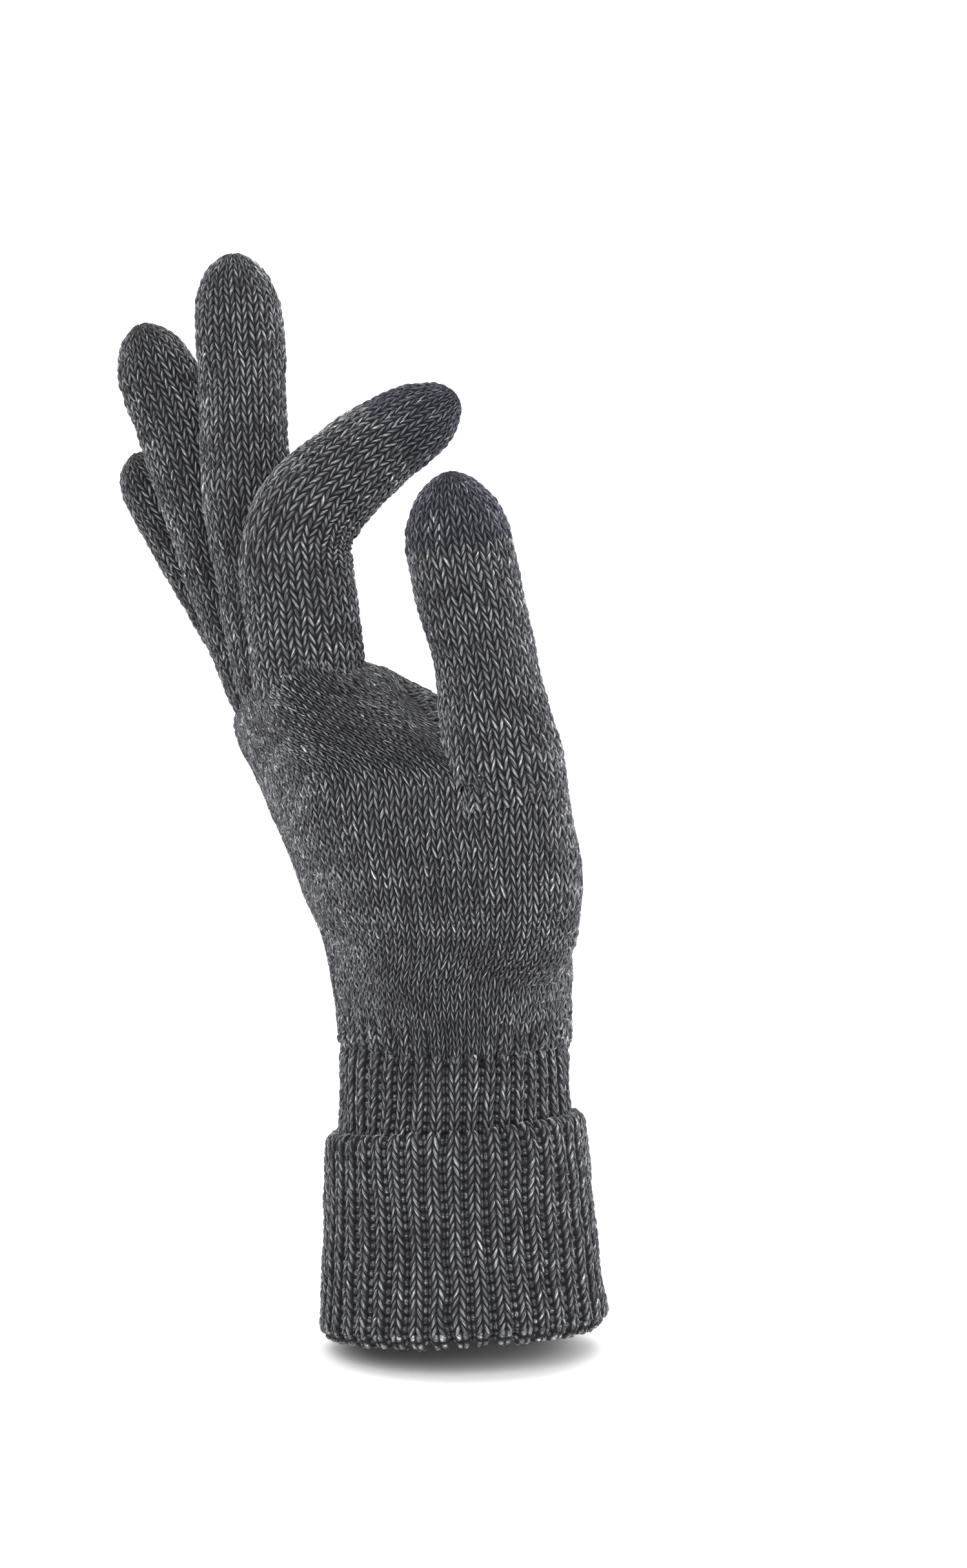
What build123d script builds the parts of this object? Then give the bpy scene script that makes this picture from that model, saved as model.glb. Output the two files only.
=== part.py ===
from build123d import *
import os
from math import atan, cos, pi, radians, sin, tan

# Left-hand knitted glove as worn on a relaxed hand. Millimetres.
# +Z runs from the wrist opening to the fingertips, +X is the way the palm faces,
# and the thumb is on the -Y side. The origin is the middle of the wrist opening.

KNIT = 1.8          # thickness of the stockinette fabric
RIB = 3.1           # thickness of one layer of 1x1 rib

# Turned-up cuff: two layers of rib joined by a rounded fold at the bottom
CUFF_TILT = 5.0     # the palm side of the cuff sits higher
CUFF_HEIGHT = 47.0
CUFF_FOOT_R = 34.4
CUFF_TOP_R = 31.0
EDGE_HEIGHT = 3.0   # cast-off edge at the free end of the turn-up
WRIST_R = 27.0
WRIST_X = -2.0
WRIST_FOOT_Z = 44.0
WRIST_TOP_Z = 68.5

# Hand tube, from the wrist to the roots of the fingers. Each section has its height at
# the middle of the hand, its slope down towards the little finger, its back, its palm
# face on the thumb side and on the little finger side, its two edges, and how square it is.
MIDDLE_Y = 7.0
HAND_SECTIONS = [
    (68.5, 0.00, -28.5, 25.5, 25.5, -27.0, 27.0, 2.0),
    (86.5, 0.00, -29.5, 26.0, 24.0, -35.0, 33.0, 2.1),
    (100.5, 0.00, -35.0, 25.0, 19.0, -43.0, 38.0, 2.3),
    (112.5, 0.01, -39.5, 21.0, 11.0, -47.0, 42.0, 2.5),
    (123.5, 0.02, -43.5, 8.0, 1.0, -44.5, 45.0, 2.5),
    (132.5, 0.04, -47.5, -8.5, -9.0, -39.0, 47.0, 2.5),
    (140.5, 0.06, -51.4, -21.0, -20.0, -37.0, 48.6, 2.8),
    (146.3, 0.077, -54.8, -27.0, -28.5, -35.8, 49.4, 3.0),
]
WEB_THICKNESS = 2.0

# Fingers: knuckle axis (x, y, z), lean from upright of each of the three lengths
# (positive towards the palm), the lengths, and the radius at root, middle, end and tip.
FINGERS = {
    "index": ((-39.3, -24.0, 154.2), (-6.4, 46.0, 57.0), (34.3, 24.5, 24.2), (10.2, 10.2, 8.9, 7.8)),
    "middle": ((-44.3, -2.5, 158.0), (-10.6, -1.0, -4.5), (37.4, 30.4, 28.3), (10.3, 10.3, 10.2, 9.4)),
    "ring": ((-46.8, 18.8, 155.9), (-17.3, -18.0, -21.0), (34.7, 27.5, 27.1), (10.0, 10.0, 9.7, 9.0)),
    "little": ((-41.5, 38.4, 150.5), (-27.0, -31.0, -32.0), (29.4, 21.0, 20.4), (8.9, 8.9, 8.6, 8.0)),
}
DEPTH = {"index": 1.2}  # a finger named here is this much deeper, palm to back, than it is wide
ROOT_GAP = 7.0      # soft length on each side of a root joint
MIDDLE_GAP = 7.5    # the same for a middle joint
END_GAP = 4.5       # the same for an end joint
OFFSET = 3.5        # how far a finger joint's axis lies on the palm side of the centre line

# Thumb: base axis, lean of its two lengths, the lengths, and the radius at base, joint and tip
THUMB_BASE = (0.3, -47.6, 136.9)
THUMB_LEANS = (-9.3, -8.6)
THUMB_LENGTHS = (29.8, 32.3)
THUMB_RADII = (12.6, 11.6, 10.0)
# Gusset that leads into the thumb: (centre, sideways lean, radius) of each section below the base
GUSSET = [
    ((4.6, -41.0, 111.5), 26.0, 15.4),
    ((8.0, -26.0, 90.5), 40.0, 13.5),
]

CONDUCTIVE = 16.0   # length of the conductive yarn tips
KNOT_R = 2.2        # gathered end of each finger
SEAM_R = 0.7        # picked-up line of stitches at the root of the thumb


def lean_axis(lean):
    """Unit direction in the plane of a finger, leaning from upright towards the palm."""
    return Vector(sin(radians(lean)), 0, cos(radians(lean)))


def frame_at(point, lean):
    """Plane at a point whose Z axis follows the finger."""
    return Plane(origin=point, x_dir=(cos(radians(lean)), 0, -sin(radians(lean))), z_dir=lean_axis(lean))


def turned(outline):
    """Revolve a closed outline, drawn as (radius, height) edges, about Z."""
    return revolve(make_face(outline), Axis.Z, 360)


def ring_solid(s0, s1, outer0, outer1, inner0, inner1):
    """Conical ring between two heights, or a full cone where the inner radii are zero."""
    corners = [(inner0, 0, s0), (outer0, 0, s0), (outer1, 0, s1), (inner1, 0, s1)]
    return turned(Polyline(*corners, close=True))


def tube(s0, s1, r0, r1, wall=KNIT):
    """Open conical tube of fabric."""
    return ring_solid(s0, s1, r0, r1, r0 - wall, r1 - wall)


def dome_outline(s0, s1, r0, r1, wall):
    """Outline of a tube with a domed closed end."""
    inner = r1 - wall
    half = sin(pi / 4)
    return [
        Line((r0 - wall, 0, s0), (r0, 0, s0)),
        Line((r0, 0, s0), (r1, 0, s1)),
        ThreePointArc((r1, 0, s1), (r1 * half, 0, s1 + r1 * half), (0, 0, s1 + r1)),
        Line((0, 0, s1 + r1), (0, 0, s1 + inner)),
        ThreePointArc((0, 0, s1 + inner), (inner * half, 0, s1 + inner * half), (inner, 0, s1)),
        Line((inner, 0, s1), (r0 - wall, 0, s0)),
    ]


def capped_tube(s0, end, r0, r1):
    """Tube closed by a dome whose top is at the end."""
    return turned(dome_outline(s0, end - r1, r0, r1, KNIT))


def knot(end, r1):
    """Small gathered end that sits on top of the dome."""
    ball = Pos(0, 0, end) * Sphere(KNOT_R)
    return ball - Pos(0, 0, end - r1) * Sphere(r1)


def deepen(shape, depth):
    """Widen a shape along its own X, which runs from the back of a finger to its palm side."""
    if depth == 1.0:
        return shape
    return scale(shape, by=(depth, 1, 1))


def bend(point, lean0, lean1, reach, radius, depth=1.0):
    """Soft tube that joins two lengths which meet at a point, following a tangent arc."""
    turn = lean1 - lean0
    if abs(turn) < 0.5:
        return frame_at(point, lean0) * deepen(tube(-reach, reach, radius, radius), depth)
    start = point - lean_axis(lean0) * reach
    centre_distance = reach / tan(radians(abs(turn)) / 2)
    side = 1 if turn > 0 else -1
    across = Vector(cos(radians(lean0)), 0, -sin(radians(lean0))) * side
    centre = start + across * centre_distance
    level = frame_at(start, lean0)
    bore = radius - KNIT
    if depth == 1.0:
        section = level * (Circle(radius) - Circle(bore))
    else:
        section = level * (Ellipse(depth * radius, radius) - Ellipse(depth * bore, bore))
    axis = Axis(centre, (0, side, 0))
    return revolve(section, axis, abs(turn))


def soft_reach(gap, turn):
    """Distance from the meeting point of two lengths to the end of the soft part."""
    return gap + OFFSET * tan(radians(abs(turn)) / 2)


def hand_outline(section, inset=0.0):
    """Closed rounded section of the hand tube."""
    z, slope, back, face_thumb, face_little, edge_thumb, edge_little, square = section
    half_y = (edge_little - edge_thumb) / 2 - inset
    mid_y = (edge_little + edge_thumb) / 2
    face_mid = (face_thumb + face_little) / 2
    mid_x = (face_mid + back) / 2
    points = []
    steps = 28
    for i in range(steps):
        angle = 2 * pi * i / steps + pi / 2
        c = abs(cos(angle)) ** (2 / square) * (1 if cos(angle) >= 0 else -1)
        s = abs(sin(angle)) ** (2 / square) * (1 if sin(angle) >= 0 else -1)
        y = mid_y + half_y * s
        share = (1 - s) / 2
        face = face_little + (face_thumb - face_little) * share
        half_x = (face - mid_x if c > 0 else mid_x - back) - inset
        points.append((mid_x + half_x * c, y, z - slope * (y - MIDDLE_Y)))
    return points


def lofted(inset, drop=0.0, rise=0.0):
    """Solid hand form; drop and rise lengthen it past its two ends."""
    rows = [hand_outline(section, inset) for section in HAND_SECTIONS]
    if drop:
        rows[0] = [(x, y, z - drop) for x, y, z in rows[0]]
    if rise:
        rows[-1] = [(x, y, z + rise) for x, y, z in rows[-1]]
    wires = [Wire([Edge.make_spline(row, periodic=True)]) for row in rows]
    return Part() + Solid.make_loft(wires)


def cuff_place(shape):
    """Tilt the cuff so that its palm side is higher."""
    return Rot(0, -CUFF_TILT, 0) * shape


def build_cuff(parts):
    layer = RIB
    mid_foot = CUFF_FOOT_R - layer
    mid_top = CUFF_TOP_R - layer
    foot_z = layer
    turn_up = ring_solid(foot_z, CUFF_HEIGHT, CUFF_FOOT_R, CUFF_TOP_R, mid_foot, mid_top)
    inner = ring_solid(foot_z, CUFF_HEIGHT, mid_foot, mid_top, mid_foot - layer, mid_top - layer)
    half = sin(pi / 4) * layer
    fold = turned([
        Line((mid_foot + layer, 0, foot_z), (mid_foot - layer, 0, foot_z)),
        ThreePointArc(
            (mid_foot - layer, 0, foot_z),
            (mid_foot, 0, 0),
            (mid_foot + layer, 0, foot_z),
        ),
    ])
    edge_mid = CUFF_TOP_R - layer / 2
    edge_top = CUFF_HEIGHT + EDGE_HEIGHT
    edge = turned([
        Line((edge_mid - layer / 2, 0, CUFF_HEIGHT), (edge_mid + layer / 2, 0, CUFF_HEIGHT)),
        ThreePointArc(
            (edge_mid + layer / 2, 0, CUFF_HEIGHT),
            (edge_mid + half / 3, 0, edge_top),
            (edge_mid - layer / 2, 0, CUFF_HEIGHT),
        ),
    ])
    parts["cuff_turn_up"] = cuff_place(turn_up)
    parts["cuff_fold"] = cuff_place(fold)
    parts["cuff_inner_rib"] = cuff_place(inner)
    parts["cuff_cast_off_edge"] = cuff_place(edge)
    filled = cuff_place(ring_solid(0, CUFF_HEIGHT, mid_foot, mid_top, 0, 0))
    wrist = Pos(WRIST_X, 0, 0) * tube(WRIST_FOOT_Z, WRIST_TOP_Z, WRIST_R, WRIST_R, RIB - 0.4)
    wrist = wrist - filled - parts["cuff_cast_off_edge"] - parts["cuff_turn_up"]
    parts["wrist_rib"] = wrist


def build_finger(parts, name, web):
    point, leans, lengths, radii = FINGERS[name]
    knuckle = Vector(*point)
    middle = knuckle + lean_axis(leans[0]) * lengths[0]
    end = middle + lean_axis(leans[1]) * lengths[1]
    r_root, r_mid, r_end, r_tip = radii
    depth = DEPTH.get(name, 1.0)
    # a deeper finger needs a longer soft length to fold through the same angle
    deeper = (depth * r_mid - OFFSET) / (r_mid - OFFSET)
    reach_mid = soft_reach(MIDDLE_GAP * deeper, leans[1] - leans[0])
    reach_end = soft_reach(END_GAP, leans[2] - leans[1])

    root = frame_at(knuckle, leans[0])
    sleeve = root * deepen(tube(-18, ROOT_GAP, r_root, r_root), depth)
    core = root * deepen(ring_solid(-18, ROOT_GAP, r_root, r_root, 0, 0), depth)
    parts[name + "_root_sleeve"] = split(sleeve, bisect_by=web, keep=Keep.TOP)
    proximal = tube(ROOT_GAP, lengths[0] - reach_mid, r_root, r_mid)
    parts[name + "_proximal"] = root * deepen(proximal, depth)
    parts[name + "_middle_sleeve"] = bend(middle, leans[0], leans[1], reach_mid, r_mid, depth)
    second = tube(reach_mid, lengths[1] - reach_end, r_mid, r_end)
    parts[name + "_middle"] = frame_at(middle, leans[1]) * deepen(second, depth)
    parts[name + "_end_sleeve"] = bend(end, leans[1], leans[2], reach_end, r_end, depth)
    last = frame_at(end, leans[2])
    if name == "index":
        split_at = lengths[2] - CONDUCTIVE
        r_split = r_end + (r_tip - r_end) * (split_at - reach_end) / (lengths[2] - r_tip - reach_end)
        parts["index_distal"] = last * deepen(tube(reach_end, split_at, r_end, r_split), depth)
        tip = capped_tube(split_at, lengths[2], r_split, r_tip)
        parts["index_conductive_tip"] = last * deepen(tip, depth)
    else:
        parts[name + "_distal"] = last * capped_tube(reach_end, lengths[2], r_end, r_tip)
    parts[name + "_tip_gather"] = last * deepen(knot(lengths[2], r_tip), depth)
    print(name, "middle axis", middle, "end axis", end)
    return core


def gusset_form(root, inset):
    """Solid form of the thumb gusset, from inside the hand up to the thumb's root."""
    top = Plane(origin=root.origin - root.z_dir * ROOT_GAP, x_dir=(1, 0, 0), z_dir=root.z_dir)
    wires = [(top * Circle(THUMB_RADII[0] - inset)).wire()]
    for centre, side_lean, radius in GUSSET:
        along = Vector(sin(radians(THUMB_LEANS[0])), -sin(radians(side_lean)), cos(radians(side_lean)))
        level = Plane(origin=centre, x_dir=(1, 0, 0), z_dir=along)
        wires.append((level * Circle(radius - inset)).wire())
    return Part() + Solid.make_loft(wires[::-1])


def build_thumb(parts, hand_form):
    base = Vector(*THUMB_BASE)
    joint = base + lean_axis(THUMB_LEANS[0]) * THUMB_LENGTHS[0]
    r_base, r_joint, r_tip = THUMB_RADII
    reach_joint = soft_reach(MIDDLE_GAP, THUMB_LEANS[1] - THUMB_LEANS[0])
    root = frame_at(base, THUMB_LEANS[0])
    bore = gusset_form(root, KNIT)
    gusset = gusset_form(root, 0.0) - bore
    parts["thumb_gusset"] = gusset - hand_form
    seam_foot = SEAM_R - ROOT_GAP
    seam = turned([
        Line((r_base, 0, -ROOT_GAP), (r_base, 0, seam_foot + SEAM_R)),
        ThreePointArc(
            (r_base, 0, seam_foot + SEAM_R),
            (r_base + SEAM_R, 0, seam_foot),
            (r_base, 0, -ROOT_GAP),
        ),
    ])
    parts["thumb_crotch_seam"] = root * seam
    parts["thumb_root_sleeve"] = root * tube(-ROOT_GAP, ROOT_GAP, r_base, r_base)
    parts["thumb_proximal"] = root * tube(ROOT_GAP, THUMB_LENGTHS[0] - reach_joint, r_base, r_joint)
    parts["thumb_joint_sleeve"] = bend(joint, THUMB_LEANS[0], THUMB_LEANS[1], reach_joint, r_joint)
    last = frame_at(joint, THUMB_LEANS[1])
    split_at = THUMB_LENGTHS[1] - CONDUCTIVE
    share = (split_at - reach_joint) / (THUMB_LENGTHS[1] - r_tip - reach_joint)
    r_split = r_joint + (r_tip - r_joint) * share
    parts["thumb_distal"] = last * tube(reach_joint, split_at, r_joint, r_split)
    parts["thumb_conductive_tip"] = last * capped_tube(split_at, THUMB_LENGTHS[1], r_split, r_tip)
    parts["thumb_tip_gather"] = last * knot(THUMB_LENGTHS[1], r_tip)
    print("thumb joint axis", joint)
    return bore


def build():
    parts = {}
    build_cuff(parts)
    hand_form = lofted(0.0)
    hollow = lofted(KNIT, drop=2.0, rise=2.0)
    slope = HAND_SECTIONS[-1][1]
    web_normal = Vector(0, sin(atan(slope)), cos(atan(slope)))
    top_centre = Vector(-41.7, MIDDLE_Y, HAND_SECTIONS[-1][0])
    web = Plane(origin=top_centre, x_dir=(1, 0, 0), z_dir=web_normal)

    bore = build_thumb(parts, hand_form)
    parts["hand_tube"] = hand_form - hollow - bore
    cores = [build_finger(parts, name, web) for name in FINGERS]
    top_wire = Wire([Edge.make_spline(hand_outline(HAND_SECTIONS[-1]), periodic=True)])
    plate = extrude(Face(top_wire), WEB_THICKNESS, dir=tuple(web_normal))
    for core in cores:
        plate = plate - core
    parts["finger_web"] = plate
    return parts


def main():
    os.makedirs("parts", exist_ok=True)
    for name, shape in build().items():
        solids = shape.solids()
        body = max(solids, key=lambda solid: solid.volume)
        body.label = name
        export_step(body, "parts/" + name + ".step")


main()
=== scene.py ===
import math

import bpy
import numpy as np
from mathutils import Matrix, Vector


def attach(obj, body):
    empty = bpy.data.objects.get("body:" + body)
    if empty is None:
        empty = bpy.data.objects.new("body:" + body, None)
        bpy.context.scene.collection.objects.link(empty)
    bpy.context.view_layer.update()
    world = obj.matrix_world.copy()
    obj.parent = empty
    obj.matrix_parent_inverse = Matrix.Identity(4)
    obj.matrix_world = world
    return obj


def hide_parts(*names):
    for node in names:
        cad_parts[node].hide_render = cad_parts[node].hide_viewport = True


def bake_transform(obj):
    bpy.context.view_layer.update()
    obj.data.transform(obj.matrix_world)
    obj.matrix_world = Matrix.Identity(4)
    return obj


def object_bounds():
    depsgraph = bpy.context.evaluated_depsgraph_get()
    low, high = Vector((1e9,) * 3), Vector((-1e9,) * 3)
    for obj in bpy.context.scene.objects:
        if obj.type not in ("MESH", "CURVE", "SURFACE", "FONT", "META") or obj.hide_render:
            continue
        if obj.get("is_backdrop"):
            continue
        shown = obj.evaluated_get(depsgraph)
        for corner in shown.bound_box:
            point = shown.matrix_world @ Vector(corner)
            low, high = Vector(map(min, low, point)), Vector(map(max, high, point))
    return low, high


# Knitted touchscreen glove: every surface is a lattice of stitches laid over the form.
# Lengths here are millimetres until a mesh is made.

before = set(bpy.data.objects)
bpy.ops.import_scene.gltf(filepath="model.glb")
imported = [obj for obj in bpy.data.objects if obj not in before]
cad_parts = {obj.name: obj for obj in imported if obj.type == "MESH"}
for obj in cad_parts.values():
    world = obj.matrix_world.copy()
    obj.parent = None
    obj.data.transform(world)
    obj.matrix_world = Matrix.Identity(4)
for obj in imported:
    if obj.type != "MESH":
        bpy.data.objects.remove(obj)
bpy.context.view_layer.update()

MM = 0.001
COURSE = 2.1            # height of one row of stitches
RELIEF = 0.95           # how far a stitch stands out
SLANT = 1.35            # how steeply the two legs of a stitch rise, in rows
PER_WALE = 6            # mesh columns in one stitch of the hand
FINGER_PER_WALE = 8     # the same on the fingers
PHASES = (0.0, 0.16, 0.4, 0.62, 0.84)

# Fingers: knuckle axis, lean of each length towards the palm, the lengths, then tables along
# the length of the half depth (palm to back), half width and sideways shift of the form,
# and the length and pointedness of the closed end.
FINGERS = {
    "index": {
        "base": (-39.3, -24.0, 154.2), "leans": (-6.4, 46.0, 57.0), "lengths": (34.3, 24.5, 24.2), "wales": 24,
        "form": [(-14, 9.2, 7.2, 1.2), (-6, 11.5, 9.1, 0.6), (0, 12.2, 9.8, 0.4), (24, 12.2, 10.0, 0.4),
                 (38, 11.6, 10.0, 0.3),
                 (50, 10.4, 9.5, 0), (58, 9.9, 9.2, 0), (66, 9.0, 8.6, 0), (83, 8.6, 8.2, 0)],
        "cap": (15.5, 1.15)},
    "middle": {
        "base": (-44.3, -2.5, 158.0), "leans": (-10.6, -1.0, -4.5), "lengths": (37.4, 30.4, 28.3), "wales": 22,
        "form": [(-14, 7.8, 7.8, 0.6), (-6, 9.3, 9.2, 0.2), (0, 9.7, 9.6, 0), (40, 9.7, 9.7, 0),
                 (60, 9.5, 9.6, -0.5), (78, 9.6, 9.6, -0.5),
                 (96, 9.2, 9.2, -0.5)],
        "cap": (15.0, 1.2)},
    "ring": {
        "base": (-45.4, 18.8, 155.9), "leans": (-19.6, -18.0, -21.0), "lengths": (34.7, 27.5, 27.1),
        "wales": 21,
        "form": [(-14, 7.4, 7.6, 0.8), (-6, 9.0, 9.1, 0.3), (0, 9.5, 9.5, 0), (40, 9.5, 9.5, 0),
                 (70, 9.2, 9.2, 0), (89, 9.0, 9.0, 0)],
        "cap": (14.5, 1.3)},
    "little": {
        "base": (-40.0, 38.4, 150.5), "leans": (-29.4, -31.0, -32.0), "lengths": (29.4, 21.0, 20.4),
        "wales": 18,
        "form": [(-14, 6.4, 6.6, 0.8), (-6, 8.0, 8.1, 0.3), (0, 8.4, 8.5, 0), (30, 8.4, 8.5, 0),
                 (50, 8.1, 8.1, 0), (71, 7.7, 7.7, 0)],
        "cap": (12.0, 1.15)},
}
THUMB = {
    "base": (0.3, -47.6, 136.9), "leans": (-9.3, -8.6), "lengths": (29.8, 32.3), "wales": 27,
    "form": [(-14, 12.6, 12.6, 0.4), (-6, 12.8, 12.7, 0.7), (0, 12.5, 12.4, 0.8), (9, 11.4, 11.4, 0.5),
             (19, 10.8, 10.9, 0.5), (29, 10.9, 11.0, -0.3), (40, 11.3, 11.2, -1.2), (46, 11.1, 11.0, -1.5),
             (62.1, 10.8, 10.8, -1.5)],
    "cap": (16.5, 1.35)}
CONDUCTIVE = {"index": 19.0, "thumb": 17.5}


# ---------------------------------------------------------------- noise and small helpers

def hash01(ix, iy, iz, seed):
    n = (ix * 73856093) ^ (iy * 19349663) ^ (iz * 83492791) ^ (seed * 40503)
    n = (n ^ (n >> 13)) * 1274126177
    n = (n ^ (n >> 16)) & 0xFFFF
    return n / 65535.0


def noise(points, cell, seed):
    """Smooth noise between -1 and 1 at points given in mm."""
    q = points / cell
    base = np.floor(q).astype(np.int64)
    f = q - base
    f = f * f * (3 - 2 * f)
    total = 0.0
    for dx in (0, 1):
        for dy in (0, 1):
            for dz in (0, 1):
                w = (f[..., 0] if dx else 1 - f[..., 0])
                w = w * (f[..., 1] if dy else 1 - f[..., 1])
                w = w * (f[..., 2] if dz else 1 - f[..., 2])
                total = total + w * hash01(base[..., 0] + dx, base[..., 1] + dy, base[..., 2] + dz, seed)
    return total * 2 - 1


def smooth(x, low, high):
    t = np.clip((np.asarray(x, float) - low) / (high - low), 0, 1)
    return t * t * (3 - 2 * t)


def unit(v):
    return v / np.maximum(np.linalg.norm(v, axis=-1, keepdims=True), 1e-9)


def spline_table(rows, at):
    """Catmull-Rom through the rows (first column is the key), at the given keys."""
    rows = np.array(rows, float)
    keys = rows[:, 0]
    at = np.clip(at, keys[0], keys[-1])
    i = np.clip(np.searchsorted(keys, at) - 1, 0, len(keys) - 2)
    p1, p2 = rows[i], rows[i + 1]
    p0, p3 = rows[np.maximum(i - 1, 0)], rows[np.minimum(i + 2, len(keys) - 1)]
    t = ((at - keys[i]) / (keys[i + 1] - keys[i]))[:, None]
    step = (keys[i + 1] - keys[i])[:, None]
    m1 = (p2 - p0) / np.maximum(p2[:, :1] - p0[:, :1], 1e-6) * step
    m2 = (p3 - p1) / np.maximum(p3[:, :1] - p1[:, :1], 1e-6) * step
    return ((2 * t**3 - 3 * t**2 + 1) * p1 + (t**3 - 2 * t**2 + t) * m1
            + (-2 * t**3 + 3 * t**2) * p2 + (t**3 - t**2) * m2)


# ---------------------------------------------------------------- materials

def yarn(name, dark, light, fibre, contrast, level, glint=0.0, rib=False):
    """Knitted yarn. The knit map gives the stitch column in U and the row in V."""
    mat = bpy.data.materials.new(name)
    mat.use_nodes = True
    nt = mat.node_tree
    for n in list(nt.nodes):
        nt.nodes.remove(n)

    def node(kind, **values):
        n = nt.nodes.new(kind)
        for key, value in values.items():
            setattr(n, key, value)
        return n

    def link(a, b):
        nt.links.new(a, b)

    def math_node(op, a, b=None, clamp=False):
        n = node("ShaderNodeMath", operation=op, use_clamp=clamp)
        for k, value in enumerate((a, b)):
            if value is None:
                continue
            if isinstance(value, (int, float)):
                n.inputs[k].default_value = value
            else:
                link(value, n.inputs[k])
        return n.outputs[0]

    def noise_node(vector, scale, detail, rough=0.6, distortion=0.0):
        n = node("ShaderNodeTexNoise")
        n.inputs["Scale"].default_value = scale
        n.inputs["Detail"].default_value = detail
        n.inputs["Roughness"].default_value = rough
        n.inputs["Distortion"].default_value = distortion
        link(vector, n.inputs["Vector"])
        return n.outputs["Fac"]

    def ramp(value, stops):
        n = node("ShaderNodeValToRGB")
        while len(n.color_ramp.elements) < len(stops):
            n.color_ramp.elements.new(0.5)
        for element, (place, colour) in zip(n.color_ramp.elements, stops):
            element.position = place
            element.color = (*colour, 1)
        link(value, n.inputs["Fac"])
        return n.outputs["Color"]

    out = node("ShaderNodeOutputMaterial")
    bsdf = node("ShaderNodeBsdfPrincipled")
    link(bsdf.outputs[0], out.inputs[0])
    uv = node("ShaderNodeUVMap", uv_map="knit")
    sep = node("ShaderNodeSeparateXYZ")
    link(uv.outputs[0], sep.inputs[0])
    u, v = sep.outputs[0], sep.outputs[1]
    side = math_node("MULTIPLY", math_node("PINGPONG", u, 0.25), 4.0)     # 0 beside a leg, 1 on it
    row = math_node("MULTIPLY", math_node("PINGPONG", v, 0.5), 2.0)        # 0 in the gap between rows
    gap_row = math_node("POWER", math_node("MULTIPLY", row, 1.2, True), 0.85)
    gap_side = math_node("POWER", math_node("MULTIPLY", side, 1.35, True), 0.85)
    shade = math_node("MULTIPLY", gap_row, gap_side, True)

    # each leg of a stitch takes its own tone, and fibres lie along it with a twist
    leg = node("ShaderNodeCombineXYZ")
    link(math_node("FLOOR", math_node("MULTIPLY", u, 2.0)), leg.inputs[0])
    link(math_node("FLOOR", v), leg.inputs[1])
    tone = node("ShaderNodeTexWhiteNoise", noise_dimensions="2D")
    link(leg.outputs[0], tone.inputs["Vector"])
    fibres = node("ShaderNodeCombineXYZ")
    link(math_node("MULTIPLY", u, 2.6), fibres.inputs[0])
    twist = math_node("MULTIPLY", u, 1.4)
    link(math_node("ADD", math_node("MULTIPLY", v, 4.6), twist), fibres.inputs[1])
    link(math_node("MULTIPLY", tone.outputs["Value"], 37.0), fibres.inputs[2])
    streak = noise_node(fibres.outputs[0], 1.0, 4.0, 0.72, 0.5)
    flecks = noise_node(uv.outputs[0], 5.2, 3.0, 0.7, 0.8)
    stretched = node("ShaderNodeVectorMath", operation="MULTIPLY")
    link(uv.outputs[0], stretched.inputs[0])
    stretched.inputs[1].default_value = (0.10, 0.34, 1.0)
    patches = noise_node(stretched.outputs[0], 1.0, 3.0, 0.5)

    base = ramp(streak, [(0.33, dark), (0.47, tuple(0.62 * d + 0.38 * l for d, l in zip(dark, light))),
                         (0.56, light), (0.68, fibre)])
    fleck = ramp(flecks, [(0.36, (0.55,) * 3), (0.53, (1.0,) * 3), (0.68, (1.45,) * 3)])
    patch = ramp(patches, [(0.30, (0.78, 0.78, 0.79)), (0.70, (1.22, 1.22, 1.21))])
    single = ramp(tone.outputs["Value"], [(0.0, (0.72,) * 3), (1.0, (1.34,) * 3)])
    # painted shade: the colour is darkened in the gaps beside the legs and between the rows, where shadow falls
    painted_gap_shade = ramp(shade, [(0.0, (0.02,) * 3), (0.34, (0.20,) * 3), (0.68, (1.08,) * 3)])
    factors = [fleck, patch, single, painted_gap_shade]
    if rib:
        # the purl columns between the ribs sit in shadow
        valley = math_node("PINGPONG", math_node("SUBTRACT", u, 0.5), 1.0)
        factors.append(ramp(valley, [(0.45, (1.0, 1.0, 1.0)), (0.80, (0.50, 0.50, 0.51))]))

    colour = base
    for factor in factors:
        mix = node("ShaderNodeMix", data_type="RGBA", blend_type="MULTIPLY")
        mix.inputs["Factor"].default_value = 1.0
        link(colour, mix.inputs["A"])
        link(factor, mix.inputs["B"])
        colour = mix.outputs["Result"]
    deeper = node("ShaderNodeGamma")
    link(colour, deeper.inputs["Color"])
    deeper.inputs["Gamma"].default_value = contrast
    gain = node("ShaderNodeMix", data_type="RGBA", blend_type="MULTIPLY")
    gain.inputs["Factor"].default_value = 1.0
    link(deeper.outputs[0], gain.inputs["A"])
    gain.inputs["B"].default_value = (level, level, level, 1)
    colour = gain.outputs["Result"]
    if glint:
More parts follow.
